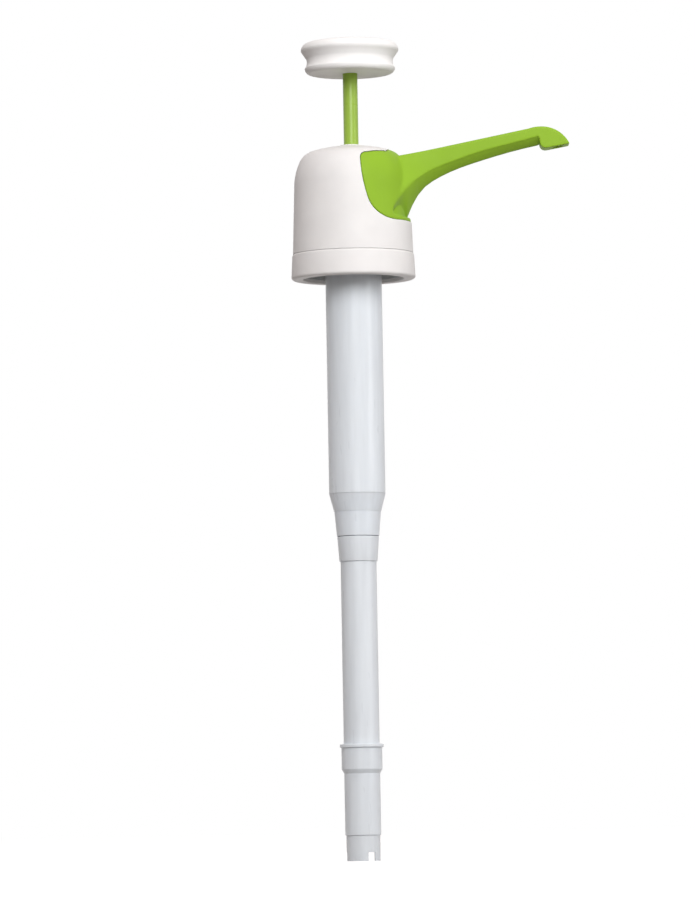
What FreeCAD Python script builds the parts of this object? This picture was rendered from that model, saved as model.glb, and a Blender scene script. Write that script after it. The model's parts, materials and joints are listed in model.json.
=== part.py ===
import FreeCAD, Part
import math
import os

# Hand pump for a drinking-water jug, in millimetres.
# +Z is up along the pump's axis, +X points along the spout.
# The origin is on the axis, where the seat rests on the rim of the jug's neck.

# Clearances
RUNNING_GAP = 0.08      # rod in its bush and seals, radial
FIT_GAP = 0.05          # pushed-together pieces, radial
SEAT_GAP = 0.1          # between pieces stacked face to face
MOVING_GAP = 0.3        # pieces that move past each other
PARTING_GAP = 0.3       # seam between shell and spout saddle
INLET_GAP = 0.25        # spout's inlet round the outlet nipple, radial

# Jug neck and seat
NECK_R = 27.5           # outside of a standard 55 mm neck
PLUG_R = 20.2           # ring that centres the pump inside the neck
PLUG_DEPTH = 12.0
PLUG_LEAD_IN = 1.0
GASKET_R_IN = 21.2
GASKET_R_OUT = 27.2
GASKET_T = 2.5

# Bell-shaped shell
DOME_TOP_Z = 55.0
CROWN_R = 87.0          # arc over the top
CORNER_R = 10.5         # arc between top and shoulder
SHOULDER_R = 34.0       # arc between corner and wall
SHOULDER_Z = 32.0       # where the straight wall starts
WALL_R = 35.0           # outside radius at z = 0
WALL_DRAFT = 0.035      # radius lost per millimetre of height
SHELL_T = 2.2
SHELL_BOTTOM_Z = -9.0

# Lower band
COLLAR_BOTTOM_Z = -24.0
COLLAR_TOP_STEP = 0.5   # how far the band stands proud of the shell
COLLAR_R_BOTTOM = 36.6
COLLAR_WALL = 2.2
COLLAR_FLOOR_T = 2.2
COLLAR_EDGE_R = 1.7
COLLAR_LIP_H = 4.6      # upstand inside the shell
COLLAR_LIP_T = 1.5
PARTING_LINE = 0.15     # open line between shell and band
GRIP_T = 1.7            # soft ring that grips the neck
GRIP_RIB = 0.55
GRIP_RIB_COUNT = 4
GRIP_TOP_Z = -3.0
GRIP_BOTTOM_Z = -22.0

# Spout: the saddle in the shell and the arm
SADDLE_INSET = 0.5      # saddle surface below the shell's surface
SADDLE_FLANGE_T = 1.5   # hidden border behind the shell
SADDLE_FLANGE_W = 2.0
SADDLE_BOTTOM_Z = 8.9
# Arcs of the saddle's edge, from its lower lip up to its tab: middle and end of each
SADDLE_LOWER_ARC = ((14.9, 12.8), (8.9, 22.0))
SADDLE_SIDE_ARC = ((6.5, 32.0), (5.2, 43.9))
SADDLE_CORNER_ARC = ((5.9, 46.8), (8.9, 48.0))
SADDLE_TOP_ARC = ((14.3, 48.9), (20.3, 49.1))
SADDLE_LIP_X = 28.0     # the lower lip is straight from here outwards
TAB_SLANT = 7.0         # the tab's edge leans outwards by this much up to the crown
ARM_W = 14.0
ARM_FLARE_X = 52.0      # the arm widens from here towards the shell
ARM_FLARE_REACH = 25.0
ARM_FLARE_CURVE = 1.9    # 1 gives the flare straight sides, 2 strongly curved ones
ARM_STATIONS = (30.0, 38.0, 45.0)
ARM_FLARE_TOP = 4.0     # extra half width at the end of the flare, along the top
ARM_FLARE_CREASE = 13.3  # the same, along the crease, where it meets the shell's curve
ARM_ROOT_X = 24.0
ARM_TOP_ROOT_Z = 46.8   # height of the top edge at the root
ARM_TOP_SLOPE = 0.198
NOZZLE_BACK_X = 109.9
SPOUT_TIP_X = 128.1
PEAK_RUN = 5.9          # the top edge bends from here before the nozzle's back
PEAK_REACH = 1.6        # the highest point is this far past the nozzle's back
NOSE_REACH = 11.6       # a point on the nose: this far past the nozzle's back
NOSE_DROP = 2.9         # and this far under the highest point
SPOUT_TOP_Z = 63.8
MOUTH_Z = 50.8          # lowest point of the nozzle
MOUTH_RISE = 2.6        # the mouth's outer edge is this much higher
MOUTH_INNER_X = 114.0
EDGE_R = 1.0            # rounding along the arm's top edges
STRIP_INSET = 0.6       # closing strip under the arm, set in from the sides
STRIP_GAP = 0.1
STRIP_ROOT_X = 24.6     # the strip's rounded part starts here, inside the saddle
STRIP_STEPS = 18
STRIP_CORNER_R = 1.5    # round of the strip's lower end
SCOOP_DEPTH = 3.2       # scoop under the arm, below the saddle's surface
STRIP_WALL = 1.6        # thickness behind the scoop
STRIP_KEEL = 1.4        # 1 gives the strip a keel, 2 a round belly
CHANNEL_R = 2.9         # water channel inside the arm
MOUTH_R = 3.6
MOUTH_DEPTH = 4.0
CHANNEL_BEND = 2.2      # from the mouth's recess up to the channel's bend
# Height of the crease between the arm's side and its underside, from root to nozzle
CREASE = ((ARM_ROOT_X, 15.0), (34.0, 29.7), (46.0, 38.6), (57.5, 43.3), (72.0, 48.3), (90.0, 53.0),
          (NOZZLE_BACK_X, 58.0))
# Lower outline of the arm, from root to nozzle
BELLY = ((33.4, 12.0), (34.4, 17.0), (37.2, 22.8), (42.0, 29.2), (50.0, 34.7), (60.0, 39.4), (75.4, 44.6),
         (93.0, 49.6), (NOZZLE_BACK_X, 53.4))
STRIP_END_Z = 11.2      # lower end of the strip, above the saddle's bottom lip

# Pump head inside the shell
DECK_T = 5.0
DECK_GAP = 2.0          # from the deck's edge to the inside of the shell
CHAMBER_WALL = 3.0
ROOF_Z = 42.0           # underside of the chamber's roof
ROOF_T = 2.5
GUIDE_WALL = 2.6        # sleeve round the rod inside the chamber
GUIDE_FLANGE_W = 2.8    # the sleeve's flange under the chamber's roof
GUIDE_FLANGE_T = 2.0
SEAL_H = 3.0
SEAL_POCKET_R = 7.6
POCKET_WALL = 2.2
RETAINER_T = 1.4
OUTLET_Z = 38.2
OUTLET_R = 4.6
OUTLET_REACH_X = 28.0
OUTLET_RING_X = 25.6
O_RING_R = 0.5
INLET_TUBE_WALL = 2.0
INLET_TUBE_L = 9.5
BUSH_R = 6.9
BUSH_FLANGE_R = 9.0
BUSH_FLANGE_T = 1.8
BUSH_PROUD = 0.2
SCREW_CIRCLE_R = 24.0
SCREW_POST_R = 3.5
SCREW_R = 1.5
SCREW_HEAD_R = 2.7
SCREW_HEAD_T = 2.0
SCREW_LENGTH = 12.0
SCREW_ANGLES = (105.0, 180.0, 255.0)

# Barrel
BARREL_R = 16.5
BARREL_T = 2.0
BARREL_TOP_Z = 12.0
BARREL_BOTTOM_Z = -149.8
BARREL_SEAL_R = 0.75
BARREL_SEAL_Z = 9.2

# Foot valve
SPIGOT_H = 11.8         # part of the foot valve inside the barrel
FOOT_SEAL_R = 0.7
CUP_R = 9.5
BALL_R = 6.0
BALL_LIFT = 4.0
BALL_REST_GAP = 0.15
THROAT_R = 3.8
THROAT_DROP = 2.9       # ball seat's throat below the barrel's end
THROAT_H = 3.0
CONE_BOTTOM_Z = -160.3
CONE_BOTTOM_R = 13.8
FOOT_BOTTOM_Z = -174.6
FOOT_BOTTOM_R = 12.4
NIPPLE_H = 13.0
NIPPLE_BORE_R = 6.4
CAGE_T = 2.2
CAGE_BAR_W = 3.0

# Dip tubes
TUBE_R = 10.5
SPIGOT_R = 10.4         # turned-down end of the upper tube
FOOT_SPIGOT_R = 9.9     # stepped foot of the lower tube
TUBE_BORE_R = 9.1
SOCKET_GAP_Z = 0.3
SOCKET_TOP_R = 12.2
SOCKET_BOTTOM_R = 11.15
SOCKET_BOTTOM_Z = -189.5
JOINT_Z = -296.0        # top of the lower tube's socket
JOINT_DEPTH = 14.6
JOINT_R = 11.9
JOINT_FLANGE_R = 12.8
JOINT_FLANGE_T = 2.0
TUBE_END_Z = -364.0
NOTCH_W = 4.5
NOTCH_H = 5.0
NOTCH_COUNT = 3

# Plunger rod and knob
ROD_R = 4.33
KNOB_BOTTOM_Z = 97.6
KNOB_RIM_Z = 111.4
KNOB_RIM_R = 28.7
KNOB_WAIST_Z = 104.9
KNOB_WAIST_R = 25.3
KNOB_FOOT_Z = 100.8
KNOB_FOOT_R = 26.6
KNOB_FOOT_EDGE = 3.6
KNOB_WALL = 2.4
KNOB_HUB_R = 8.5
KNOB_TOP_Z = 118.0
KNOB_EDGE_R = 3.4       # width of the cap's rounded edge
KNOB_CROWN_RISE = 2.4   # from that edge up to the middle of the crown
KNOB_FLAT_R = 3.0       # flat spot in the middle of the crown
KNOB_CROWN_BULGE = 0.03
KNOB_CAP_T = 2.0
KNOB_CAP_SKIRT = 3.0
ROD_TOP_Z = 109.5
KNOB_SCREW_R = 2.0
KNOB_SCREW_HEAD_R = 4.2
KNOB_SCREW_HEAD_T = 1.8
KNOB_SCREW_LENGTH = 16.0

# Piston
TRAVEL_DOWN = 38.0
TRAVEL_UP = 60.0
PISTON_GAP = 0.6        # plate in the barrel, radial
PLATE_T = 3.0
SKIRT_H = 8.0
SKIRT_T = 3.4
HUB_R = 7.2
PISTON_SEAL_H = 3.2
PISTON_SEAL_GAP = 0.08
PORT_R = 1.7
PORT_CIRCLE_R = 10.2
PORT_COUNT = 6
DISC_T = 1.2
DISC_R = 12.8
DISC_LIFT = 3.0
DISC_REST_GAP = 0.05
STOP_T = 1.6
STOP_R = 11.0
HUB_ABOVE_STOP = 1.2
SHOULDER_SCREW_R = 2.8
SHOULDER_HEAD_R = 5.0
SHOULDER_HEAD_T = 2.2
SHOULDER_THREAD_R = 2.0
SHOULDER_THREAD_L = 12.0
SPIN_GAP = 0.12
BOTTOM_GAP = 2.0        # piston above the foot valve's cage at the end of the stroke

# Sizes worked out from the ones above
DECK_Z = GASKET_T
DECK_TOP_Z = DECK_Z + DECK_T
BARREL_BORE_R = BARREL_R - BARREL_T
HEAD_BORE_R = BARREL_R + FIT_GAP
DECK_R = WALL_R - WALL_DRAFT * DECK_TOP_Z - SHELL_T - DECK_GAP
CHAMBER_R = BARREL_R + CHAMBER_WALL
COLLAR_BORE_R = NECK_R + GRIP_T + FIT_GAP
ROD_BORE_R = ROD_R + RUNNING_GAP
GUIDE_R = ROD_R + GUIDE_WALL
ROOF_TOP_Z = ROOF_Z + ROOF_T
POCKET_TOP_Z = ROOF_TOP_Z + SEAL_H
RETAINER_Z = POCKET_TOP_Z + SEAT_GAP
SPIGOT_TOP_Z = BARREL_BOTTOM_Z + SPIGOT_H
THROAT_Z = BARREL_BOTTOM_Z - THROAT_DROP
BALL_TOUCH_R = BALL_R * math.cos(math.pi / 4)
BALL_Z = THROAT_Z + (BALL_TOUCH_R - THROAT_R) + BALL_TOUCH_R + BALL_REST_GAP
CAGE_BOTTOM_Z = BALL_Z + BALL_R + BALL_LIFT + MOVING_GAP
CAGE_TOP_Z = CAGE_BOTTOM_Z + CAGE_T
PLATE_BOTTOM_Z = CAGE_TOP_Z + BOTTOM_GAP + TRAVEL_DOWN + SKIRT_H
PLATE_TOP_Z = PLATE_BOTTOM_Z + PLATE_T
DISC_Z = PLATE_TOP_Z + DISC_REST_GAP
STOP_Z = DISC_Z + DISC_T + DISC_LIFT + MOVING_GAP
HUB_TOP_Z = STOP_Z + STOP_T + HUB_ABOVE_STOP
ROD_BOTTOM_Z = HUB_TOP_Z + MOVING_GAP
GUIDE_BOTTOM_Z = HUB_TOP_Z + TRAVEL_UP + MOVING_GAP
TUBE_TOP_Z = FOOT_BOTTOM_Z - SOCKET_GAP_Z
JOINT_BOTTOM_Z = JOINT_Z - JOINT_DEPTH


def vec(x, y, z):
    return FreeCAD.Vector(x, y, z)


def outline(items):
    """Closed wire in the XZ plane.

    An item is a corner (x, z), a rounded corner (x, z, radius), or the end of an arc
    given as ((middle x, middle z), (end x, end z)).
    """
    ends = [item if not isinstance(item[0], tuple) else item[1] for item in items]
    edges = []
    here = None
    first = None
    count = len(items)
    for index, item in enumerate(items):
        if isinstance(item[0], tuple):
            edges.append(arc_edge(here, item[0], item[1]))
            here = item[1]
            continue
        if len(item) == 3:
            before, after = rounded_corner(ends[index - 1], item, ends[(index + 1) % count])
            start, middle, stop = before, after[0], after[1]
            add_line(edges, here, start)
            edges.append(arc_edge(start, middle, stop))
            first = first or start
            here = stop
            continue
        point = (item[0], item[1])
        add_line(edges, here, point)
        first = first or point
        here = point
    add_line(edges, here, first)
    return Part.Wire(edges)


def add_line(edges, start, end):
    if start is None or math.dist(start, end) < 1e-6:
        return
    edges.append(Part.makeLine(vec(start[0], 0, start[1]), vec(end[0], 0, end[1])))


def arc_edge(start, middle, end):
    a, b, c = (vec(point[0], 0, point[1]) for point in (start, middle, end))
    return Part.Arc(a, b, c).toShape()


def rounded_corner(before, corner, after):
    """Start of a corner's arc, and its middle and end."""
    x, z, radius = corner
    a = vec(before[0] - x, 0, before[1] - z).normalize()
    b = vec(after[0] - x, 0, after[1] - z).normalize()
    half = a.getAngle(b) / 2
    reach = radius / math.tan(half)
    bisector = (a + b).normalize()
    centre_distance = radius / math.sin(half)
    middle = bisector * (centre_distance - radius)
    start = (x + a.x * reach, z + a.z * reach)
    stop = (x + b.x * reach, z + b.z * reach)
    return start, ((x + middle.x, z + middle.z), stop)


def turned(items):
    """Solid of revolution about the Z axis; items are (radius, height) as in outline."""
    return Part.Face(outline(items)).revolve(vec(0, 0, 0), vec(0, 0, 1), 360)


def ring(r_in, r_out, z_low, z_high, edge=0.0):
    """Tube or washer, with small chamfers on its outer edges."""
    if edge == 0.0:
        return turned([(r_in, z_low), (r_out, z_low), (r_out, z_high), (r_in, z_high)])
    return turned([(r_in, z_low), (r_out - edge, z_low), (r_out, z_low + edge),
                   (r_out, z_high - edge), (r_out - edge, z_high), (r_in, z_high)])


def rod(radius, z_low, z_high, x=0.0, y=0.0):
    return Part.makeCylinder(radius, z_high - z_low, vec(x, y, z_low))


def prism(wire, half_width):
    """Solid from a wire in the XZ plane, stretched to both sides along Y."""
    face = Part.Face(wire)
    face.translate(vec(0, -half_width, 0))
    return face.extrude(vec(0, 2 * half_width, 0))


def around(shape, count, start=0.0):
    """Copies of a shape, evenly spaced about the Z axis."""
    copies = []
    for index in range(count):
        copy = shape.copy()
        copy.rotate(vec(0, 0, 0), vec(0, 0, 1), start + index * 360.0 / count)
        copies.append(copy)
    return copies


def wall_radius(z):
    return WALL_R - WALL_DRAFT * z


def dome_centres():
    """Centres of the crown, corner and shoulder arcs, which meet without a kink."""
    lean = math.hypot(1, WALL_DRAFT)
    inward = (-1 / lean, -WALL_DRAFT / lean)
    shoulder = (wall_radius(SHOULDER_Z) + SHOULDER_R * inward[0], SHOULDER_Z + SHOULDER_R * inward[1])
    crown = (0.0, DOME_TOP_Z - CROWN_R)
    near = SHOULDER_R - CORNER_R
    far = CROWN_R - CORNER_R
    span = math.dist(shoulder, crown)
    along = (near * near - far * far + span * span) / (2 * span)
    across = math.sqrt(near * near - along * along)
    ux = (crown[0] - shoulder[0]) / span
    uz = (crown[1] - shoulder[1]) / span
    corner = (shoulder[0] + along * ux - across * uz, shoulder[1] + along * uz + across * ux)
    return crown, corner, shoulder, inward


def on_circle(centre, radius, angle):
    return (centre[0] + radius * math.cos(angle), centre[1] + radius * math.sin(angle))


def angle_between(origin, point):
    return math.atan2(point[1] - origin[1], point[0] - origin[0])


def arc_middle(start, end, bulge):
    """Middle of an arc that rises above its chord by bulge, a share of the chord's length."""
    x = (start[0] + end[0]) / 2 + bulge * (end[1] - start[1])
    z = (start[1] + end[1]) / 2 + bulge * (start[0] - end[0])
    return x, z


def dome(inset, z_low):
    """Solid bell, its whole surface moved inwards by inset, cut flat at z_low."""
    crown, corner, shoulder, inward = dome_centres()
    wall_angle = math.atan2(-inward[1], -inward[0])
    shoulder_end = angle_between(shoulder, corner)
    crown_end = angle_between(crown, corner)
    radii = (SHOULDER_R - inset, CORNER_R - inset, CROWN_R - inset)
    wall_top = on_circle(shoulder, radii[0], wall_angle)
    wall_low = (wall_top[0] + WALL_DRAFT * (wall_top[1] - z_low), z_low)
    return turned([
        (0, z_low), wall_low, wall_top,
        (on_circle(shoulder, radii[0], (wall_angle + shoulder_end) / 2),
         on_circle(shoulder, radii[0], shoulder_end)),
        (on_circle(corner, radii[1], (shoulder_end + crown_end) / 2),
         on_circle(corner, radii[1], crown_end)),
        (on_circle(crown, radii[2], (crown_end + math.pi / 2) / 2), (0, DOME_TOP_Z - inset)),
    ])


def saddle_window(growth):
    """Side view of the opening that the saddle fills, made larger by growth."""
    far_x = 2 * WALL_R
    top_z = DOME_TOP_Z + SHELL_T
    wire = outline([
        (far_x, SADDLE_BOTTOM_Z), (SADDLE_LIP_X, SADDLE_BOTTOM_Z),
        SADDLE_LOWER_ARC, SADDLE_SIDE_ARC, SADDLE_CORNER_ARC, SADDLE_TOP_ARC,
        (SADDLE_TOP_ARC[1][0] + TAB_SLANT, top_z), (far_x, top_z),
    ])
    if growth:
        wire = wire.makeOffset2D(growth)
    return prism(wire, 2 * WALL_R)


def spline(points):
    curve = Part.BSplineCurve()
    curve.interpolate([vec(x, 0, z) for x, z in points])
    return curve


def height_at(curve, x):
    """Height of a curve that runs from low x to high x."""
    low, high = curve.FirstParameter, curve.LastParameter
    for _ in range(50):
        middle = (low + high) / 2
        if curve.value(middle).x < x:
            low = middle
        else:
            high = middle
    return curve.value(low).z


def arm_top_z(x):
    return ARM_TOP_ROOT_Z + ARM_TOP_SLOPE * (x - ARM_ROOT_X)


def flare(x):
    """0 on the straight arm, rising to 1 where the arm reaches the shell, and on from there."""
    return (max(0.0, ARM_FLARE_X - x) / ARM_FLARE_REACH) ** ARM_FLARE_CURVE


def head_shell():
    """White bell with the saddle's window, the rod's hole and three screw posts."""
    outer = dome(0, SHELL_BOTTOM_Z)
    shell = outer.cut(dome(SHELL_T, SHELL_BOTTOM_Z - 1))
    shell = shell.cut(saddle_window(PARTING_GAP))
    posts = []
    for angle in SCREW_ANGLES:
        x = SCREW_CIRCLE_R * math.cos(math.radians(angle))
        y = SCREW_CIRCLE_R * math.sin(math.radians(angle))
        post = rod(SCREW_POST_R, DECK_TOP_Z + SEAT_GAP, DOME_TOP_Z, x, y)
        post = post.common(dome(SHELL_T / 2, SHELL_BOTTOM_Z))
        pilot_top = DECK_TOP_Z + SCREW_LENGTH
        posts.append(post.cut(rod(SCREW_R + FIT_GAP, DECK_TOP_Z - 1, pilot_top, x, y)))
    shell = shell.fuse(posts)
    return shell.cut(rod(BUSH_R + FIT_GAP, 0, DOME_TOP_Z + 5)).removeSplitter()


def collar_ring():
    """Band under the shell: outer skirt, inner wall round the neck, floor and snap lip."""
    top = SHELL_BOTTOM_Z - PARTING_LINE
    r_top = wall_radius(top) + COLLAR_TOP_STEP
    lip_r = wall_radius(SHELL_BOTTOM_Z + COLLAR_LIP_H) - SHELL_T - 2 * FIT_GAP
    inner_wall_r = COLLAR_BORE_R + 1.7
    skirt_r = r_top - COLLAR_WALL
    floor = COLLAR_BOTTOM_Z + COLLAR_FLOOR_T
    return turned([
        (COLLAR_BORE_R, COLLAR_BOTTOM_Z, 0.8),
        (COLLAR_R_BOTTOM, COLLAR_BOTTOM_Z, COLLAR_EDGE_R),
        (r_top, top, 0.4),
        (lip_r, top),
        (lip_r, SHELL_BOTTOM_Z + COLLAR_LIP_H, 0.3),
        (lip_r - COLLAR_LIP_T, SHELL_BOTTOM_Z + COLLAR_LIP_H),
        (lip_r - COLLAR_LIP_T, top - COLLAR_LIP_T),
        (skirt_r, top - COLLAR_LIP_T),
        (skirt_r, floor),
        (inner_wall_r, floor),
        (inner_wall_r, DECK_Z - SEAT_GAP),
        (COLLAR_BORE_R, DECK_Z - SEAT_GAP),
    ])


def neck_grip_ring():
    """Soft sleeve with ribs that press on the jug's neck."""
    outer_r = COLLAR_BORE_R - FIT_GAP
    base_r = outer_r - GRIP_T + GRIP_RIB
    points = [(base_r, GRIP_BOTTOM_Z), (outer_r, GRIP_BOTTOM_Z), (outer_r, GRIP_TOP_Z), (base_r, GRIP_TOP_Z)]
    pitch = (GRIP_TOP_Z - GRIP_BOTTOM_Z) / (GRIP_RIB_COUNT + 1)
    for index in range(GRIP_RIB_COUNT):
        middle = GRIP_TOP_Z - (index + 1) * pitch
        points.append((base_r, middle + pitch / 4))
        points.append((base_r - GRIP_RIB, middle))
        points.append((base_r, middle - pitch / 4))
    return turned(points)


def neck_gasket():
    return ring(GASKET_R_IN, GASKET_R_OUT, 0, GASKET_T - SEAT_GAP)


def plug_ring():
    """Ring on the barrel under the deck, which centres the pump in the neck."""
    return turned([
        (HEAD_BORE_R, -PLUG_DEPTH), (PLUG_R - PLUG_LEAD_IN, -PLUG_DEPTH), (PLUG_R, PLUG_LEAD_IN - PLUG_DEPTH),
        (PLUG_R, DECK_Z - SEAT_GAP), (HEAD_BORE_R, DECK_Z - SEAT_GAP),
    ])


def screw_places():
    return [(SCREW_CIRCLE_R * math.cos(math.radians(a)), SCREW_CIRCLE_R * math.sin(math.radians(a)))
            for a in SCREW_ANGLES]


def pump_head():
    """Deck, chamber, roof with the seal's pocket, and the outlet."""
    body = turned([
        (HEAD_BORE_R, DECK_Z), (DECK_R, DECK_Z, 0.6), (DECK_R, DECK_TOP_Z, 0.6), (CHAMBER_R, DECK_TOP_Z, 1.2),
        (CHAMBER_R, ROOF_TOP_Z, 2.0),
        (SEAL_POCKET_R + POCKET_WALL, ROOF_TOP_Z), (SEAL_POCKET_R + POCKET_WALL, POCKET_TOP_Z),
        (SEAL_POCKET_R, POCKET_TOP_Z), (SEAL_POCKET_R, ROOF_TOP_Z),
        (GUIDE_R + FIT_GAP, ROOF_TOP_Z), (GUIDE_R + FIT_GAP, ROOF_Z),
        (BARREL_BORE_R, ROOF_Z, 1.5), (BARREL_BORE_R, BARREL_TOP_Z + SEAT_GAP),
        (HEAD_BORE_R, BARREL_TOP_Z + SEAT_GAP),
    ])
    seal_r = BARREL_R + BARREL_SEAL_R
    groove = ring(BARREL_R, seal_r + BARREL_SEAL_R, BARREL_SEAL_Z - BARREL_SEAL_R - SEAT_GAP,
                  BARREL_SEAL_Z + BARREL_SEAL_R + SEAT_GAP)
    body = body.cut(groove)
    along_x = vec(1, 0, 0)
    outlet = Part.makeCylinder(OUTLET_R, OUTLET_REACH_X - BARREL_R, vec(BARREL_R, 0, OUTLET_Z), along_x)
    body = body.fuse(outlet)
    channel = Part.makeCylinder(CHANNEL_R, OUTLET_REACH_X, vec(GUIDE_R + 1, 0, OUTLET_Z), along_x)
    body = body.cut(channel)
    groove_floor = OUTLET_R + INLET_GAP - 2 * O_RING_R
    half = O_RING_R + SEAT_GAP / 2
    cutter = Part.makeCylinder(OUTLET_R + 1, 2 * half, vec(OUTLET_RING_X - half, 0, OUTLET_Z), along_x)
    core = Part.makeCylinder(groove_floor, 2 * half, vec(OUTLET_RING_X - half, 0, OUTLET_Z), along_x)
    body = body.cut(cutter.cut(core))
    for x, y in screw_places():
        body = body.cut(rod(SCREW_R + SPIN_GAP, DECK_Z - 1, DECK_TOP_Z + 1, x, y))
        body = body.cut(rod(SCREW_HEAD_R + MOVING_GAP, DECK_Z - 1, DECK_Z + SCREW_HEAD_T + SEAT_GAP, x, y))
    return body.removeSplitter()


def rod_guide():
    """Sleeve round the rod, held in the chamber's roof; the piston's hub stops at its lower end."""
    flange_r = GUIDE_R + GUIDE_FLANGE_W
    flange_top = ROOF_Z - SEAT_GAP
    return turned([
        (ROD_R + MOVING_GAP, GUIDE_BOTTOM_Z), (GUIDE_R, GUIDE_BOTTOM_Z, 0.4),
        (GUIDE_R, flange_top - GUIDE_FLANGE_T), (flange_r, flange_top - GUIDE_FLANGE_T, 0.4),
        (flange_r, flange_top), (GUIDE_R, flange_top), (GUIDE_R, ROOF_TOP_Z),
        (ROD_R + MOVING_GAP, ROOF_TOP_Z),
    ])


def spout_seal():
    """O-ring on the outlet nipple."""
    return Part.makeTorus(OUTLET_R + INLET_GAP - O_RING_R - 0.02, O_RING_R - 0.02,
                          vec(OUTLET_RING_X, 0, OUTLET_Z), vec(1, 0, 0))


def rod_seal():
    """Lip seal round the rod, in its pocket on the chamber's roof."""
    z = ROOF_TOP_Z + SEAT_GAP
    r_out = SEAL_POCKET_R - FIT_GAP
    return turned([
        (r_out, z), (r_out, POCKET_TOP_Z), (ROD_BORE_R + 1.9, POCKET_TOP_Z), (ROD_BORE_R + 1.3, z + 1.2),
        (ROD_BORE_R, POCKET_TOP_Z - 0.3), (ROD_BORE_R, z),
    ])


def seal_retainer():
    """Cap that holds the rod seal in its pocket."""
    r_pocket = SEAL_POCKET_R + POCKET_WALL
    return turned([
        (ROD_R + MOVING_GAP, RETAINER_Z), (r_pocket + FIT_GAP, RETAINER_Z),
        (r_pocket + FIT_GAP, ROOF_TOP_Z + 0.4), (r_pocket + 1.5, ROOF_TOP_Z + 0.4),
        (r_pocket + 1.5, RETAINER_Z + RETAINER_T, 0.6),
        (ROD_R + MOVING_GAP, RETAINER_Z + RETAINER_T),
    ])


def rod_bush():
    """Guide bush in the shell's top, with its flange inside."""
    flange_top = DOME_TOP_Z - SHELL_T - SEAT_GAP - 0.5
    flange_low = flange_top - BUSH_FLANGE_T
    return turned([
        (ROD_BORE_R, flange_low), (BUSH_FLANGE_R, flange_low), (BUSH_FLANGE_R, flange_top),
        (BUSH_R, flange_top),
        (BUSH_R, DOME_TOP_Z + BUSH_PROUD, 0.6), (ROD_BORE_R, DOME_TOP_Z + BUSH_PROUD, 0.3),
    ])


def barrel():
    """Pump cylinder, pushed up into the head."""
    return turned([
        (BARREL_BORE_R, BARREL_BOTTOM_Z), (BARREL_R, BARREL_BOTTOM_Z), (BARREL_R, BARREL_TOP_Z, 0.6),
        (BARREL_BORE_R, BARREL_TOP_Z),
    ])


def barrel_seal():
    return Part.makeTorus(BARREL_R + BARREL_SEAL_R + 0.01, BARREL_SEAL_R - 0.02, vec(0, 0, BARREL_SEAL_Z))


def foot_valve_body():
    """Spigot in the barrel, ball seat, outer cone and collar, and the nipple for the tube."""
    spigot_r = BARREL_BORE_R - FIT_GAP
    nipple_r = TUBE_BORE_R - FIT_GAP
    seal_z = (SPIGOT_TOP_Z + BARREL_BOTTOM_Z) / 2
    groove_r = BARREL_BORE_R - 2 * FOOT_SEAL_R
    low = seal_z - FOOT_SEAL_R - SEAT_GAP / 2
    high = seal_z + FOOT_SEAL_R + SEAT_GAP / 2
    return turned([
        (THROAT_R, THROAT_Z), (CUP_R, THROAT_Z + CUP_R - THROAT_R), (CUP_R, SPIGOT_TOP_Z),
        (spigot_r, SPIGOT_TOP_Z), (spigot_r, high), (groove_r, high), (groove_r, low), (spigot_r, low),
        (spigot_r, BARREL_BOTTOM_Z - SEAT_GAP), (BARREL_R, BARREL_BOTTOM_Z - SEAT_GAP),
        (CONE_BOTTOM_R, CONE_BOTTOM_Z), (CONE_BOTTOM_R - 0.15, CONE_BOTTOM_Z),
        (FOOT_BOTTOM_R, FOOT_BOTTOM_Z), (nipple_r, FOOT_BOTTOM_Z), (nipple_r, FOOT_BOTTOM_Z - NIPPLE_H, 0.5),
        (NIPPLE_BORE_R, FOOT_BOTTOM_Z - NIPPLE_H), (NIPPLE_BORE_R, THROAT_Z - 2 * THROAT_H),
        (THROAT_R, THROAT_Z - THROAT_H),
    ])


def foot_seal():
    seal_z = (SPIGOT_TOP_Z + BARREL_BOTTOM_Z) / 2
    return Part.makeTorus(BARREL_BORE_R - FOOT_SEAL_R - 0.01, FOOT_SEAL_R - 0.02, vec(0, 0, seal_z))


def foot_valve_ball():
    return Part.makeSphere(BALL_R, vec(0, 0, BALL_Z))


def foot_valve_cage():
    """Cross bar in a ring, which sits on the spigot and stops the ball."""
    outer = BARREL_BORE_R - MOVING_GAP
    seat = SPIGOT_TOP_Z + SEAT_GAP
    hoop = ring(CUP_R + 0.6, outer, seat, CAGE_TOP_Z, 0.4)
    bars = []
    for angle in (0, 60, 120):
        corner = vec(-outer, -CAGE_BAR_W / 2, CAGE_BOTTOM_Z)
        bar = Part.makeBox(2 * outer, CAGE_BAR_W, CAGE_T, corner)
        bar.rotate(vec(0, 0, 0), vec(0, 0, 1), angle)
        bars.append(bar.common(rod(outer - 0.5, CAGE_BOTTOM_Z - 1, CAGE_TOP_Z + 1)))
    return hoop.fuse(bars).removeSplitter()


def tube_socket():
    """Tapered sleeve that clamps the upper tube on its nipple."""
    bore = TUBE_R + FIT_GAP
    return turned([
        (bore, TUBE_TOP_Z), (SOCKET_TOP_R, TUBE_TOP_Z, 0.4), (SOCKET_BOTTOM_R, SOCKET_BOTTOM_Z, 0.3),
        (bore, SOCKET_BOTTOM_Z),
    ])


def dip_tube_upper():
    """Upper tube, from the foot valve to the socket of the lower one."""
    end = JOINT_BOTTOM_Z + SEAT_GAP
    return turned([
        (TUBE_BORE_R, end), (SPIGOT_R, end, 0.4), (SPIGOT_R, JOINT_Z), (TUBE_R, JOINT_Z + 0.1),
        (TUBE_R, TUBE_TOP_Z), (TUBE_BORE_R, TUBE_TOP_Z),
    ])


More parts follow.
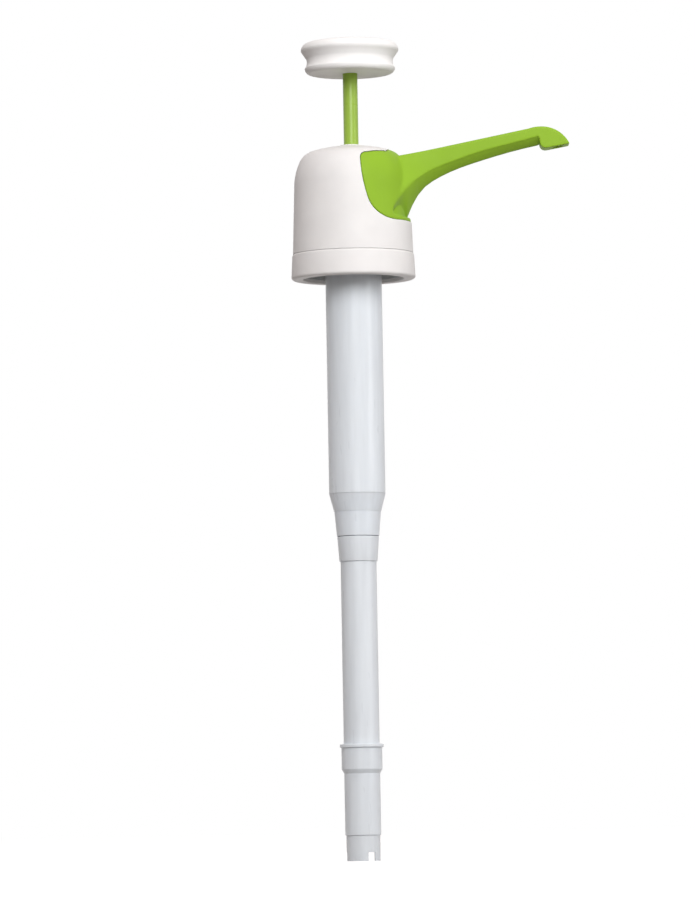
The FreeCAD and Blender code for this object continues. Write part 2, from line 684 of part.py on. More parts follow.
def dip_tube_lower():
    """Lower tube: flanged socket at the top, notched spigot at the bottom."""
    spigot_top = TUBE_END_Z + JOINT_DEPTH
    socket_r = SPIGOT_R + FIT_GAP
    tube = turned([
        (TUBE_BORE_R, TUBE_END_Z), (FOOT_SPIGOT_R, TUBE_END_Z), (FOOT_SPIGOT_R, spigot_top),
        (TUBE_R, spigot_top + TUBE_R - FOOT_SPIGOT_R),
        (TUBE_R, JOINT_BOTTOM_Z - 2.5), (JOINT_R, JOINT_BOTTOM_Z), (JOINT_R, JOINT_Z - JOINT_FLANGE_T),
        (JOINT_FLANGE_R, JOINT_Z - JOINT_FLANGE_T, 0.4), (JOINT_FLANGE_R, JOINT_Z, 0.4), (socket_r, JOINT_Z),
        (socket_r, JOINT_BOTTOM_Z), (TUBE_BORE_R, JOINT_BOTTOM_Z),
    ])
    notch = Part.makeBox(TUBE_R + 2, NOTCH_W, NOTCH_H + 1, vec(0, -NOTCH_W / 2, TUBE_END_Z - 1))
    for cutter in around(notch, NOTCH_COUNT, 60.0):
        tube = tube.cut(cutter)
    return tube


def housing_screws():
    """Three pan-head screws from under the deck up into the shell's posts."""
    screws = []
    for x, y in screw_places():
        head_low = DECK_Z + SEAT_GAP / 2
        head = rod(SCREW_HEAD_R, head_low, head_low + SCREW_HEAD_T, x, y)
        shank = rod(SCREW_R, head_low, DECK_TOP_Z + SCREW_LENGTH - 1, x, y)
        slot = Part.makeBox(2 * SCREW_HEAD_R, 0.7, 0.8, vec(x - SCREW_HEAD_R, y - 0.35, head_low))
        screws.append(head.fuse(shank).cut(slot).removeSplitter())
    return Part.makeCompound(screws)


def arm_outline():
    """Side view of the arm and nozzle down to the crease."""
    crease = spline(CREASE)
    nose_mid_x = NOZZLE_BACK_X + NOSE_REACH
    straight_end_x = NOZZLE_BACK_X - PEAK_RUN
    edges = []
    start = (ARM_ROOT_X, arm_top_z(ARM_ROOT_X))
    top_end = (straight_end_x, arm_top_z(straight_end_x))
    peak = (NOZZLE_BACK_X + PEAK_REACH, SPOUT_TOP_Z)
    lip = (SPOUT_TIP_X, MOUTH_Z + MOUTH_RISE)
    add_line(edges, start, top_end)
    edges.append(arc_edge(top_end, ((top_end[0] + peak[0]) / 2, SPOUT_TOP_Z - 0.25), peak))
    edges.append(arc_edge(peak, (nose_mid_x, SPOUT_TOP_Z - NOSE_DROP), lip))
    heel = (MOUTH_INNER_X + 0.6, MOUTH_Z + 0.1)
    back_low = (NOZZLE_BACK_X + 0.9, MOUTH_Z + 2.2)
    back_top = (NOZZLE_BACK_X, height_at(crease, NOZZLE_BACK_X))
    add_line(edges, lip, heel)
    edges.append(arc_edge(heel, (MOUTH_INNER_X - 1.6, MOUTH_Z + 0.5), back_low))
    add_line(edges, back_low, back_top)
    edges.append(crease.toShape())
    add_line(edges, CREASE[0], start)
    return Part.Wire(Part.__sortEdges__(edges))


def arm_blade():
    """Width of the arm: straight sides that flare and lean out towards the shell."""
    crease = spline(CREASE)
    low, high = 0.0, SPOUT_TOP_Z + ARM_W
    sections = []
    for x in (ARM_ROOT_X,) + ARM_STATIONS + (ARM_FLARE_X,):
        top_half = ARM_W / 2 + ARM_FLARE_TOP * flare(x)
        crease_half = ARM_W / 2 + ARM_FLARE_CREASE * flare(x)
        lean = (crease_half - top_half) / (arm_top_z(x) - height_at(crease, x))
        low_half = top_half + lean * (arm_top_z(x) - low)
        high_half = max(1.0, top_half + lean * (arm_top_z(x) - high))
        corners = ((-low_half, low), (low_half, low), (high_half, high), (-high_half, high), (-low_half, low))
        sections.append(Part.makePolygon([vec(x, y, z) for y, z in corners]))
    root = Part.makeLoft(sections, True, False)
    reach = SPOUT_TIP_X + 5 - ARM_FLARE_X
    straight = Part.makeBox(reach, ARM_W, high - low, vec(ARM_FLARE_X, -ARM_W / 2, low))
    return root.fuse(straight)


def rounded_top(arm):
    """Arm with its two long top edges rounded, from the root to the nozzle."""
    edges = []
    for edge in arm.Edges:
        middle = edge.CenterOfMass
        beside = abs(middle.y) - ARM_W / 2
        on_top = middle.z > arm_top_z(middle.x) - EDGE_R
        at_side = -0.1 < beside < ARM_FLARE_TOP + 1 and middle.x > WALL_R - 5
        if at_side and on_top and edge.Length > 3 * EDGE_R:
            edges.append(edge)
    return arm.makeFillet(EDGE_R, edges)


def channel_cutter():
    """Water channel from the saddle's inlet to the nozzle's mouth."""
    slant = math.hypot(SPOUT_TIP_X - MOUTH_INNER_X, MOUTH_RISE)
    down = vec(MOUTH_RISE / slant, 0, (MOUTH_INNER_X - SPOUT_TIP_X) / slant)
    mouth = vec((MOUTH_INNER_X + SPOUT_TIP_X) / 2, 0, MOUTH_Z + MOUTH_RISE / 2)
    bend = mouth - down * (MOUTH_DEPTH + CHANNEL_BEND)
    points = (vec(ARM_ROOT_X, 0, OUTLET_Z), vec(ARM_ROOT_X + 10, 0, OUTLET_Z + 2.4),
              vec(NOZZLE_BACK_X - 2, 0, bend.z), bend, mouth)
    pieces = []
    for start, end in zip(points, points[1:]):
        pieces.append(Part.makeCylinder(CHANNEL_R, (end - start).Length, start, end - start))
        pieces.append(Part.makeSphere(CHANNEL_R, end))
    pieces.append(Part.makeCylinder(MOUTH_R, MOUTH_DEPTH + 6, mouth - down * MOUTH_DEPTH, down))
    return pieces[0].fuse(pieces[1:])


def under_crease(gap):
    """Side view of everything under the crease, down to the strip's lower end, less a gap all round."""
    curve = spline([(x, z - gap) for x, z in CREASE])
    start = (CREASE[0][0], CREASE[0][1] - gap)
    back_x = NOZZLE_BACK_X - gap
    low_z = STRIP_END_Z + gap
    low_corner = (CREASE[0][0] + STRIP_CORNER_R, low_z)
    edges = [curve.toShape()]
    add_line(edges, (NOZZLE_BACK_X, height_at(curve, NOZZLE_BACK_X)), (NOZZLE_BACK_X, low_z))
    add_line(edges, (NOZZLE_BACK_X, low_z), low_corner)
    edges.append(arc_edge(low_corner, (CREASE[0][0] - 0.1, low_z + STRIP_CORNER_R), start))
    block = prism(Part.Wire(Part.__sortEdges__(edges)), WALL_R)
    if gap:
        block = block.cut(Part.makeBox(2 * WALL_R, 2 * WALL_R, 2 * WALL_R, vec(back_x, -WALL_R, 0)))
    return block


def spout_body():
    """Saddle that fills the shell's window, the arm with its nozzle, and the inlet."""
    panel = dome(SADDLE_INSET, SHELL_BOTTOM_Z).cut(dome(SHELL_T + SEAT_GAP, SHELL_BOTTOM_Z - 1))
    panel = panel.common(saddle_window(0))
    flange_in = SHELL_T + SEAT_GAP + SADDLE_FLANGE_T
    border = dome(SHELL_T + SEAT_GAP, SHELL_BOTTOM_Z).cut(dome(flange_in, SHELL_BOTTOM_Z - 1))
    border = border.common(saddle_window(SADDLE_FLANGE_W))
    arm = rounded_top(prism(arm_outline(), WALL_R).common(arm_blade()))
    arm = arm.cut(dome(flange_in, SHELL_BOTTOM_Z))
    body = panel.fuse([border, arm])
    inlet_r = OUTLET_R + INLET_GAP
    inlet_x = ARM_ROOT_X - 0.5
    along_x = vec(1, 0, 0)
    inlet = Part.makeCylinder(inlet_r + INLET_TUBE_WALL, INLET_TUBE_L, vec(inlet_x, 0, OUTLET_Z), along_x)
    body = body.fuse(inlet)
    body = body.cut(under_crease(0))
    bore_start = vec(inlet_x - 1, 0, OUTLET_Z)
    body = body.cut(Part.makeCylinder(inlet_r, OUTLET_REACH_X + 0.5 - bore_start.x, bore_start, along_x))
    return body.cut(channel_cutter()).removeSplitter()


def spout_underside():
    """Closing strip under the arm, which widens into a scoop on the saddle."""
    crease = spline(CREASE)
    belly = spline(BELLY)
    sections = []
    for step in range(STRIP_STEPS + 1):
        x = STRIP_ROOT_X + (NOZZLE_BACK_X - STRIP_ROOT_X) * (step / STRIP_STEPS) ** 1.9
        half = ARM_W / 2 + ARM_FLARE_CREASE * flare(x) - STRIP_INSET
        top = height_at(crease, x)
        depth = top - height_at(belly, x)
        shares = [math.cos(math.pi * k / 8) for k in range(9)]
        rim = [vec(x, half * share, top - depth * (1 - abs(share) ** STRIP_KEEL)) for share in shares]
        curve = Part.BSplineCurve()
        curve.interpolate(rim)
        wall = [rim[-1], vec(x, -half, top + 3), vec(x, half, top + 3), rim[0]]
        sections.append(Part.Wire([curve.toShape()] + Part.makePolygon(wall).Edges))
    strip = Part.makeLoft(sections, True, True)
    scoop = dome(SADDLE_INSET + SCOOP_DEPTH, SHELL_BOTTOM_Z)
    inner = dome(SADDLE_INSET + SCOOP_DEPTH + STRIP_WALL, SHELL_BOTTOM_Z - 1)
    strip = strip.fuse(scoop).cut(inner)
    strip = strip.common(under_crease(STRIP_GAP))
    return strip.cut(channel_cutter()).removeSplitter()


def plunger_rod():
    """Round rod from the piston to the knob, with a pilot hole at each end."""
    body = turned([(0, ROD_BOTTOM_Z), (ROD_R, ROD_BOTTOM_Z, 0.4), (ROD_R, ROD_TOP_Z, 0.4), (0, ROD_TOP_Z)])
    body = body.cut(rod(SHOULDER_THREAD_R + FIT_GAP, ROD_BOTTOM_Z - 1, ROD_BOTTOM_Z + SHOULDER_THREAD_L + 1))
    return body.cut(rod(KNOB_SCREW_R + FIT_GAP, ROD_TOP_Z - KNOB_SCREW_LENGTH - 1, ROD_TOP_Z + 1))


def knob_body():
    """Spool-shaped knob, hollow round a central hub."""
    hub_top = ROD_TOP_Z - SEAT_GAP
    seat = KNOB_RIM_Z - SEAT_GAP
    inner_r = KNOB_WAIST_R - KNOB_WALL
    floor = KNOB_BOTTOM_Z + KNOB_WALL
    bore = ROD_R + FIT_GAP
    return turned([
        (bore, KNOB_BOTTOM_Z),
        (KNOB_FOOT_R - KNOB_FOOT_EDGE, KNOB_BOTTOM_Z),
        ((KNOB_FOOT_R - 0.85, KNOB_BOTTOM_Z + 1.0), (KNOB_FOOT_R, KNOB_FOOT_Z)),
        ((KNOB_WAIST_R, KNOB_WAIST_Z - 0.8), (KNOB_WAIST_R + 0.35, KNOB_WAIST_Z + 1.6)),
        (KNOB_RIM_R, seat),
        (inner_r, seat),
        (inner_r, floor, 1.0),
        (KNOB_HUB_R, floor, 1.0),
        (KNOB_HUB_R, hub_top),
        (bore, hub_top),
    ])


def knob_cap():
    """Cap of the knob: rounded edge, shallow crown and a skirt inside the body."""
    skirt_r = KNOB_WAIST_R - KNOB_WALL - FIT_GAP
    edge_r = KNOB_RIM_R - KNOB_EDGE_R
    edge_z = KNOB_TOP_Z - KNOB_CROWN_RISE
    crown_end = (KNOB_FLAT_R, KNOB_TOP_Z)
    under = edge_z - KNOB_CAP_T
    return turned([
        (0, under), (skirt_r - 1.6, under), (skirt_r - 1.6, KNOB_RIM_Z - KNOB_CAP_SKIRT),
        (skirt_r, KNOB_RIM_Z - KNOB_CAP_SKIRT), (skirt_r, KNOB_RIM_Z), (KNOB_RIM_R, KNOB_RIM_Z),
        ((KNOB_RIM_R - 0.8, KNOB_RIM_Z + 2.5), (edge_r, edge_z)),
        (arc_middle((edge_r, edge_z), crown_end, KNOB_CROWN_BULGE), crown_end),
        (0, KNOB_TOP_Z),
    ])


def knob_screw():
    """Screw and washer head that hold the knob on the rod."""
    head_low = ROD_TOP_Z + SEAT_GAP / 2
    head = ring(0, KNOB_SCREW_HEAD_R, head_low, head_low + KNOB_SCREW_HEAD_T, 0.3)
    shank = rod(KNOB_SCREW_R, ROD_TOP_Z - KNOB_SCREW_LENGTH, head_low + 0.5)
    slot = Part.makeBox(2 * KNOB_SCREW_HEAD_R, 0.9, 1.0,
                        vec(-KNOB_SCREW_HEAD_R, -0.45, head_low + KNOB_SCREW_HEAD_T - 0.8))
    return head.fuse(shank).cut(slot).removeSplitter()


def piston_body():
    """Plate with ports, hub above it and skirt with the seal's groove below it."""
    plate_r = BARREL_BORE_R - PISTON_GAP
    skirt_low = PLATE_BOTTOM_Z - SKIRT_H
    groove_low = PLATE_BOTTOM_Z - SKIRT_H / 2 - PISTON_SEAL_H / 2 - SEAT_GAP
    groove_high = groove_low + PISTON_SEAL_H + 2 * SEAT_GAP
    groove_r = plate_r - SKIRT_T / 2
    bore = SHOULDER_SCREW_R + SPIN_GAP
    body = turned([
        (bore, PLATE_BOTTOM_Z), (plate_r - SKIRT_T, PLATE_BOTTOM_Z), (plate_r - SKIRT_T, skirt_low),
        (plate_r, skirt_low), (plate_r, groove_low), (groove_r, groove_low), (groove_r, groove_high),
        (plate_r, groove_high), (plate_r, PLATE_TOP_Z), (HUB_R, PLATE_TOP_Z), (HUB_R, HUB_TOP_Z, 0.5),
        (bore, HUB_TOP_Z),
    ])
    port = rod(PORT_R, PLATE_BOTTOM_Z - 1, PLATE_TOP_Z + 1, PORT_CIRCLE_R, 0)
    for cutter in around(port, PORT_COUNT):
        body = body.cut(cutter)
    return body


def piston_seal():
    """Ring that wipes the barrel."""
    plate_r = BARREL_BORE_R - PISTON_GAP
    middle = PLATE_BOTTOM_Z - SKIRT_H / 2
    return ring(plate_r - SKIRT_T / 2 + FIT_GAP, BARREL_BORE_R - PISTON_SEAL_GAP,
                middle - PISTON_SEAL_H / 2, middle + PISTON_SEAL_H / 2, 0.4)


def piston_valve_stop():
    """Ring pressed on the hub, which ends the disc's lift."""
    return ring(HUB_R + FIT_GAP, STOP_R, STOP_Z, STOP_Z + STOP_T, 0.3)


def piston_valve_disc():
    """Loose flap disc over the ports."""
    return ring(HUB_R + MOVING_GAP, DISC_R, DISC_Z, DISC_Z + DISC_T, 0.2)


def piston_screw():
    """Shoulder screw under the rod; the piston's hub turns on its shoulder."""
    head_top = PLATE_BOTTOM_Z - SPIN_GAP
    head = ring(0, SHOULDER_HEAD_R, head_top - SHOULDER_HEAD_T, head_top, 0.3)
    shoulder = rod(SHOULDER_SCREW_R, head_top - 0.5, ROD_BOTTOM_Z - 0.02)
    thread = rod(SHOULDER_THREAD_R, ROD_BOTTOM_Z - 1, ROD_BOTTOM_Z + SHOULDER_THREAD_L)
    slot = Part.makeBox(2 * SHOULDER_HEAD_R, 1.0, 1.0,
                        vec(-SHOULDER_HEAD_R, -0.5, head_top - SHOULDER_HEAD_T - 0.2))
    return head.fuse([shoulder, thread]).cut(slot).removeSplitter()


PIECES = (head_shell, collar_ring, neck_grip_ring, neck_gasket, plug_ring, pump_head, rod_guide, spout_body,
          spout_underside, spout_seal, rod_bush, rod_seal, seal_retainer, barrel, barrel_seal,
          foot_valve_body, foot_valve_cage, foot_seal, tube_socket, dip_tube_upper, dip_tube_lower,
          housing_screws, piston_body, piston_seal, piston_valve_stop, piston_valve_disc,
          foot_valve_ball, plunger_rod, piston_screw, knob_body, knob_cap, knob_screw)


def main():
    os.makedirs("parts", exist_ok=True)
    for piece in PIECES:
        shape = piece()
        name = piece.__name__
        box = shape.BoundBox
        print(name, "solids", len(shape.Solids), "valid", shape.isValid(), "volume", round(shape.Volume, 1),
              "x", round(box.XMin, 2), round(box.XMax, 2), "z", round(box.ZMin, 2), round(box.ZMax, 2))
        shape.exportStep(os.path.join("parts", name + ".step"))


if __name__ == "__main__":
    main()
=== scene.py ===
import json
import math

import bmesh
import bpy
from mathutils import Matrix, Vector


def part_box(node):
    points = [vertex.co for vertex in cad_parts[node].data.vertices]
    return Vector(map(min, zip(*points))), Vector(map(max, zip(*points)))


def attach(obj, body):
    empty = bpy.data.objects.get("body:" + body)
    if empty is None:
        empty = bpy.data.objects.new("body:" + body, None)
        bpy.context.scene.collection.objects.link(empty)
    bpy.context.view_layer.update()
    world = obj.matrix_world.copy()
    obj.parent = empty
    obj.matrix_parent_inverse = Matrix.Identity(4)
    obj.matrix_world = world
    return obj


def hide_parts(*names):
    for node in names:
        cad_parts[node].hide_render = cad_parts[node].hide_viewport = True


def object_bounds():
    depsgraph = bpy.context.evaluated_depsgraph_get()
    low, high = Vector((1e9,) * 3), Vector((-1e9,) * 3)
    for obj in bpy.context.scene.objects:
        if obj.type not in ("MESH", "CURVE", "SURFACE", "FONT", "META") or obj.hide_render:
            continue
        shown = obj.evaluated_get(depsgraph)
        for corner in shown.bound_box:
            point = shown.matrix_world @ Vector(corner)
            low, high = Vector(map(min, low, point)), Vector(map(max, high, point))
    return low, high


bl_info = {
    "name": "Hand Pump",
    "version": (1, 0, 0),
    "blender": (4, 5, 0),
    "location": "View3D > Sidebar > Pump",
    "description": "Dresses a hand pump: knob, rod, bell, spout, barrel and tubes",
    "category": "Object",
}

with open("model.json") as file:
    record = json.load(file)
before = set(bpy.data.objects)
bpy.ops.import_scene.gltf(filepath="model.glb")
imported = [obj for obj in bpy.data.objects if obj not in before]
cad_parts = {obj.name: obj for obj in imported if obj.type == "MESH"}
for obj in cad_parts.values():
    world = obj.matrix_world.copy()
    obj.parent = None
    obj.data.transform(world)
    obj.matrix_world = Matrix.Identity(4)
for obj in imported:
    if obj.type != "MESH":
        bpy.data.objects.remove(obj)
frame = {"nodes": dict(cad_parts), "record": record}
CAD_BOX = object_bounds()
MM = 0.001
FINISH = {}

# Faces that meet at up to this many degrees are shaded as one surface
SMOOTH_ANGLE = 35

# Colours of the pieces that keep their own whatever the pump's colours are
SEAL_GREY = (0.09, 0.095, 0.10)
SEAL_CLEAR = (0.55, 0.57, 0.57)
STEEL = (0.62, 0.63, 0.64)

# Stage, in metres: floor, lamps and what the camera looks at
FLOOR_SIZE = 30
FLOOR_DROP = 0.0002
MAIN_LAMP_PLACE = (0.22, -1.92, 0.9)
MAIN_LAMP_SIZE = 1.3
SIDE_LAMP_PLACE = (1.9, -0.9, 0.3)
SIDE_LAMP_SIZE = 1.0
WATTS = 10
ROOM_TINT = (1, 0.89, 0.86, 1)
ROOM_LOW = 0.09
FLOOR_BOUNCE = (0.3, 0.29, 0.28, 1)
FLOOR_SEEN = (0.9, 0.9, 0.9, 1)
FLOOR_GLOW = 1.6
VIEW_X = -0.0053
VIEW_Z = -0.1232
SENSOR_WIDTH = 36.0

# Knob and rod, in millimetres; a pair is an offset in x and one in z
KNOB_SEGMENTS = 160
KNOB_BORE_R = 4.4
FOOT_INSET = 2.1
FOOT_FLAT_INSET = 3.6
FOOT_BEND = (0.85, 1.0)
FOOT_H = 3.2
WAIST_H = 6.5
WAIST_END = (0.35, 8.9)
RIM_START = (0.75, 1.45)
RIM_BEND = (0.2, 0.6)
KNOB_WALL = 6
KNOB_FLOOR = 3
CAP_SEAM = 0.02
CAP_EDGE = (3.4, 2.4)
CAP_EDGE_BEND = (0.8, 2.5)
CAP_CROWN_X_SHARE = 0.56
CAP_CROWN_DROP = 0.75
CAP_DEPTH = 4
CAP_WALL = 8
ROD_EDGE = 0.4
ROD_SEGMENTS = 64

# Bell and band, in millimetres; the draft is what the wall leans in over one millimetre of height
BELL_SEGMENTS = 192
BELL_DRAFT = 0.035
BELL_WALL_TOP = 32.0
BELL_WALL = 2.2
BELL_HOLE_R = 6.95
BELL_HOLE_LAP = 0.1
WALL_STEPS = 8
ARC_STEPS = 10
WINDOW_GAP = 0.3
BAND_BORE_R = 29.25
BAND_WALL_R = 31.9
BAND_LIP_T = 1.7
BAND_FLOOR = 2.2
BAND_WALL_DROP = 7
BAND_TOP_INSET = 0.78
BAND_CHAMFER = (0.5, 0.9)
BAND_CHAMFER_EDGES = (0.8, 0.2)
BAND_FOOT_EDGES = (0.8, 1.7)
BAND_LIP_DROP = 0.1

# Side view of the bell's window, in millimetres: x, z and the way that each point moves as the window grows.
# Lip and top are corners, and each arc is given by its middle, its end and its number of steps.
WINDOW_LIP = ((60, 8.9, 0, -1), (28, 8.9, 0, -1))
WINDOW_ARCS = (
    ((14.9, 12.8, -1, -1), (8.9, 22.0, -1, 0), 14),
    ((6.5, 32.0, -1, 0), (5.2, 43.9, -1, 0), 12),
    ((5.9, 46.8, -0.7, 0.7), (8.9, 48.0, 0, 1), 6),
    ((14.3, 48.9, 0, 1), (20.3, 49.1, -1, 1), 6),
)
WINDOW_TOP = ((27.3, 57.2, -1, 0), (60, 57.2, 0, 0))
WINDOW_HALF_W = 60

# Edges of the bell that are rounded: past these millimetres in x and z and from the axis, and sharper than
# this many radians. Corners closer together than the gap are merged first.
WINDOW_CLEAR = 4
HOLE_CLEAR_R = 8
SHARP_ANGLE = 0.9
MERGE_GAP = 0.2

# Part of the spout where the arm leaves the saddle, and how far its smoothing fades in, in millimetres
ROOT_LEFT_X = 22
ROOT_LOW_Z = 14
ROOT_TOP_Z = 47
ROOT_INSIDE = -1.2
ROOT_FADE = 3


def deselect():
    bpy.ops.object.select_all(action="DESELECT")


def pick(*pieces):
    """Selects the given pieces alone, and makes the last one active."""
    deselect()
    for piece in pieces:
        piece.select_set(True)
    bpy.context.view_layer.objects.active = pieces[-1]


# The looks of the plastics, rubber and steel


def new_material(slot):
    """Node material for one slot: its tree, its Principled shader and object coordinates."""
    material = bpy.data.materials.new(slot + "_finish")
    FINISH[slot] = material
    material.use_nodes = True
    tree = material.node_tree
    tree.nodes.clear()
    output = tree.nodes.new("ShaderNodeOutputMaterial")
    shader = tree.nodes.new("ShaderNodeBsdfPrincipled")
    tree.links.new(shader.outputs["BSDF"], output.inputs["Surface"])
    place = tree.nodes.new("ShaderNodeTexCoord")
    return tree, shader, place.outputs["Object"]


def noise(tree, place, size, detail=2.0, stretch=(1, 1, 1)):
    """Noise with blotches of about the given size in metres."""
    mapping = tree.nodes.new("ShaderNodeMapping")
    mapping.inputs["Scale"].default_value = stretch
    tree.links.new(place, mapping.inputs["Vector"])
    node = tree.nodes.new("ShaderNodeTexNoise")
    node.inputs["Scale"].default_value = 1.0 / size
    node.inputs["Detail"].default_value = detail
    tree.links.new(mapping.outputs["Vector"], node.inputs["Vector"])
    return node.outputs["Fac"]


def spread(tree, value, low, high):
    """A value between about 0.3 and 0.7, stretched to run from low to high."""
    node = tree.nodes.new("ShaderNodeMapRange")
    node.inputs["From Min"].default_value = 0.3
    node.inputs["From Max"].default_value = 0.7
    node.inputs["To Min"].default_value = low
    node.inputs["To Max"].default_value = high
    tree.links.new(value, node.inputs["Value"])
    return node.outputs["Result"]


def two_tones(tree, value, dark, light):
    """Colour that wanders between two tones."""
    ramp = tree.nodes.new("ShaderNodeValToRGB")
    ramp.color_ramp.elements[0].position = 0.32
    ramp.color_ramp.elements[0].color = (*dark, 1)
    ramp.color_ramp.elements[1].position = 0.68
    ramp.color_ramp.elements[1].color = (*light, 1)
    tree.links.new(value, ramp.inputs["Fac"])
    return ramp.outputs["Color"]


def shaded(colour, factor):
    return tuple(min(1.0, channel * factor) for channel in colour)


def relief(tree, shader, height, depth, strength, edge=0.0):
    """Bump from a height value, with its depth in metres, over edges softened by the given radius."""
    bump = tree.nodes.new("ShaderNodeBump")
    bump.inputs["Strength"].default_value = strength
    bump.inputs["Distance"].default_value = depth
    tree.links.new(height, bump.inputs["Height"])
    tree.links.new(bump.outputs["Normal"], shader.inputs["Normal"])
    if edge:
        soft_edge = tree.nodes.new("ShaderNodeBevel")
        soft_edge.samples = 6
        soft_edge.inputs["Radius"].default_value = edge
        tree.links.new(soft_edge.outputs["Normal"], bump.inputs["Normal"])


def moulded_plastic(name, colour, roughness, grain=0.0006, sheen=0.5, glow=0.0):
    """Moulded plastic with faint tone changes, a fine skin texture, uneven gloss and light let in by glow."""
    tree, shader, place = new_material(name)
    tone = two_tones(tree, noise(tree, place, 0.018, 3), shaded(colour, 0.975), shaded(colour, 1.02))
    tree.links.new(tone, shader.inputs["Base Color"])
    gloss = spread(tree, noise(tree, place, 0.006, 2), roughness - 0.04, roughness + 0.05)
    tree.links.new(gloss, shader.inputs["Roughness"])
    relief(tree, shader, noise(tree, place, grain, 3), 0.00003, 0.12, 0.0004)
    shader.inputs["IOR"].default_value = 1.48
    shader.inputs["Specular IOR Level"].default_value = sheen
    shader.inputs["Subsurface Weight"].default_value = glow
    shader.inputs["Subsurface Radius"].default_value = (0.009, 0.008, 0.0075)
    shader.inputs["Subsurface Scale"].default_value = 1.0


def natural_plastic(name, colour, roughness):
    """Unpigmented plastic that lets some light through, with drawing marks along its length."""
    tree, shader, place = new_material(name)
    streaks = noise(tree, place, 0.004, 2, (1, 1, 0.08))
    tone = two_tones(tree, streaks, shaded(colour, 0.96), shaded(colour, 1.03))
    tree.links.new(tone, shader.inputs["Base Color"])
    gloss = spread(tree, noise(tree, place, 0.003, 2, (1, 1, 0.15)), roughness - 0.05, roughness + 0.08)
    tree.links.new(gloss, shader.inputs["Roughness"])
    relief(tree, shader, noise(tree, place, 0.0015, 2, (1, 1, 0.1)), 0.00004, 0.2)
    shader.inputs["Subsurface Weight"].default_value = 0.25
    shader.inputs["Subsurface Radius"].default_value = (0.004, 0.0042, 0.0045)
    shader.inputs["Subsurface Scale"].default_value = 1.0
    shader.inputs["IOR"].default_value = 1.5


def soft_rubber(name, colour):
    """Matt rubber with a fine, uneven skin."""
    tree, shader, place = new_material(name)
    tone = two_tones(tree, noise(tree, place, 0.005, 3), shaded(colour, 0.88), shaded(colour, 1.12))
    tree.links.new(tone, shader.inputs["Base Color"])
    gloss = spread(tree, noise(tree, place, 0.0012, 2), 0.55, 0.75)
    tree.links.new(gloss, shader.inputs["Roughness"])
    relief(tree, shader, noise(tree, place, 0.0005, 2), 0.00003, 0.3)


def turned_steel(name, colour):
    """Bright steel with faint rings about its axis."""
    tree, shader, place = new_material(name)
    rings = noise(tree, place, 0.001, 3, (1, 1, 6))
    tone = two_tones(tree, rings, shaded(colour, 0.92), shaded(colour, 1.08))
    tree.links.new(tone, shader.inputs["Base Color"])
    gloss = spread(tree, noise(tree, place, 0.0008, 2, (1, 1, 6)), 0.22, 0.36)
    tree.links.new(gloss, shader.inputs["Roughness"])
    relief(tree, shader, noise(tree, place, 0.0004, 2, (1, 1, 8)), 0.00001, 0.2)
    shader.inputs["Metallic"].default_value = 1.0


class PumpColours(bpy.types.PropertyGroup):
    bell: bpy.props.FloatVectorProperty(
        name="Bell", description="Plastic of the bell and its band",
        subtype="COLOR", size=3, min=0, max=1,
        default=(0.83, 0.82, 0.815))
    knob: bpy.props.FloatVectorProperty(
        name="Knob", description="Plastic of the push knob", subtype="COLOR", size=3, min=0, max=1,
        default=(0.92, 0.92, 0.915))
    spout: bpy.props.FloatVectorProperty(
        name="Spout", description="Plastic of the spout and its saddle",
        subtype="COLOR", size=3, min=0, max=1,
        default=(0.275, 0.475, 0.032))
    rod: bpy.props.FloatVectorProperty(
        name="Rod", description="Plastic of the plunger rod", subtype="COLOR", size=3, min=0, max=1,
        default=(0.29, 0.45, 0.055))
    barrel: bpy.props.FloatVectorProperty(
        name="Barrel", description="Plastic of the barrel and the dip tubes",
        subtype="COLOR", size=3, min=0, max=1,
        default=(0.72, 0.77, 0.82))


class PumpSizes(bpy.types.PropertyGroup):
    knob_waist: bpy.props.FloatProperty(
        name="Knob waist", description="How far the knob's waist lies inside its rim",
        unit="LENGTH", default=0.0034)
    bell_crown: bpy.props.FloatProperty(
        name="Bell crown", description="Radius of the arc over the bell's top",
        unit="LENGTH", default=0.087)
    bell_corner: bpy.props.FloatProperty(
        name="Bell corner", description="Radius of the arc between top and shoulder",
        unit="LENGTH", default=0.0105)
    bell_shoulder: bpy.props.FloatProperty(
        name="Bell shoulder", description="Radius of the arc between corner and wall",
        unit="LENGTH", default=0.034)
    window_round: bpy.props.FloatProperty(
        name="Window edge", description="Rounding of the edge of the bell's window",
        unit="LENGTH", default=0.0004)
    band_gap: bpy.props.FloatProperty(
        name="Band gap", description="Open line between bell and band", unit="LENGTH", default=0.00015)
    spout_skin: bpy.props.FloatProperty(
        name="Spout skin", description="Size of the faces of the spout's skin",
        unit="LENGTH", default=0.00045)
    spout_rounds: bpy.props.IntProperty(
        name="Spout softness", description="How many times the spout's skin is smoothed", default=6)
    root_reach: bpy.props.FloatProperty(
        name="Root blend", description="How far the arm's blend reaches from the saddle",
        unit="LENGTH", default=0.006)
    root_rounds: bpy.props.IntProperty(
        name="Root softness", description="How many times the arm's root is smoothed", default=60)
    strip_swell: bpy.props.FloatProperty(
        name="Strip growth", description="How far the strip grows to meet the arm",
        unit="LENGTH", default=0.00012)


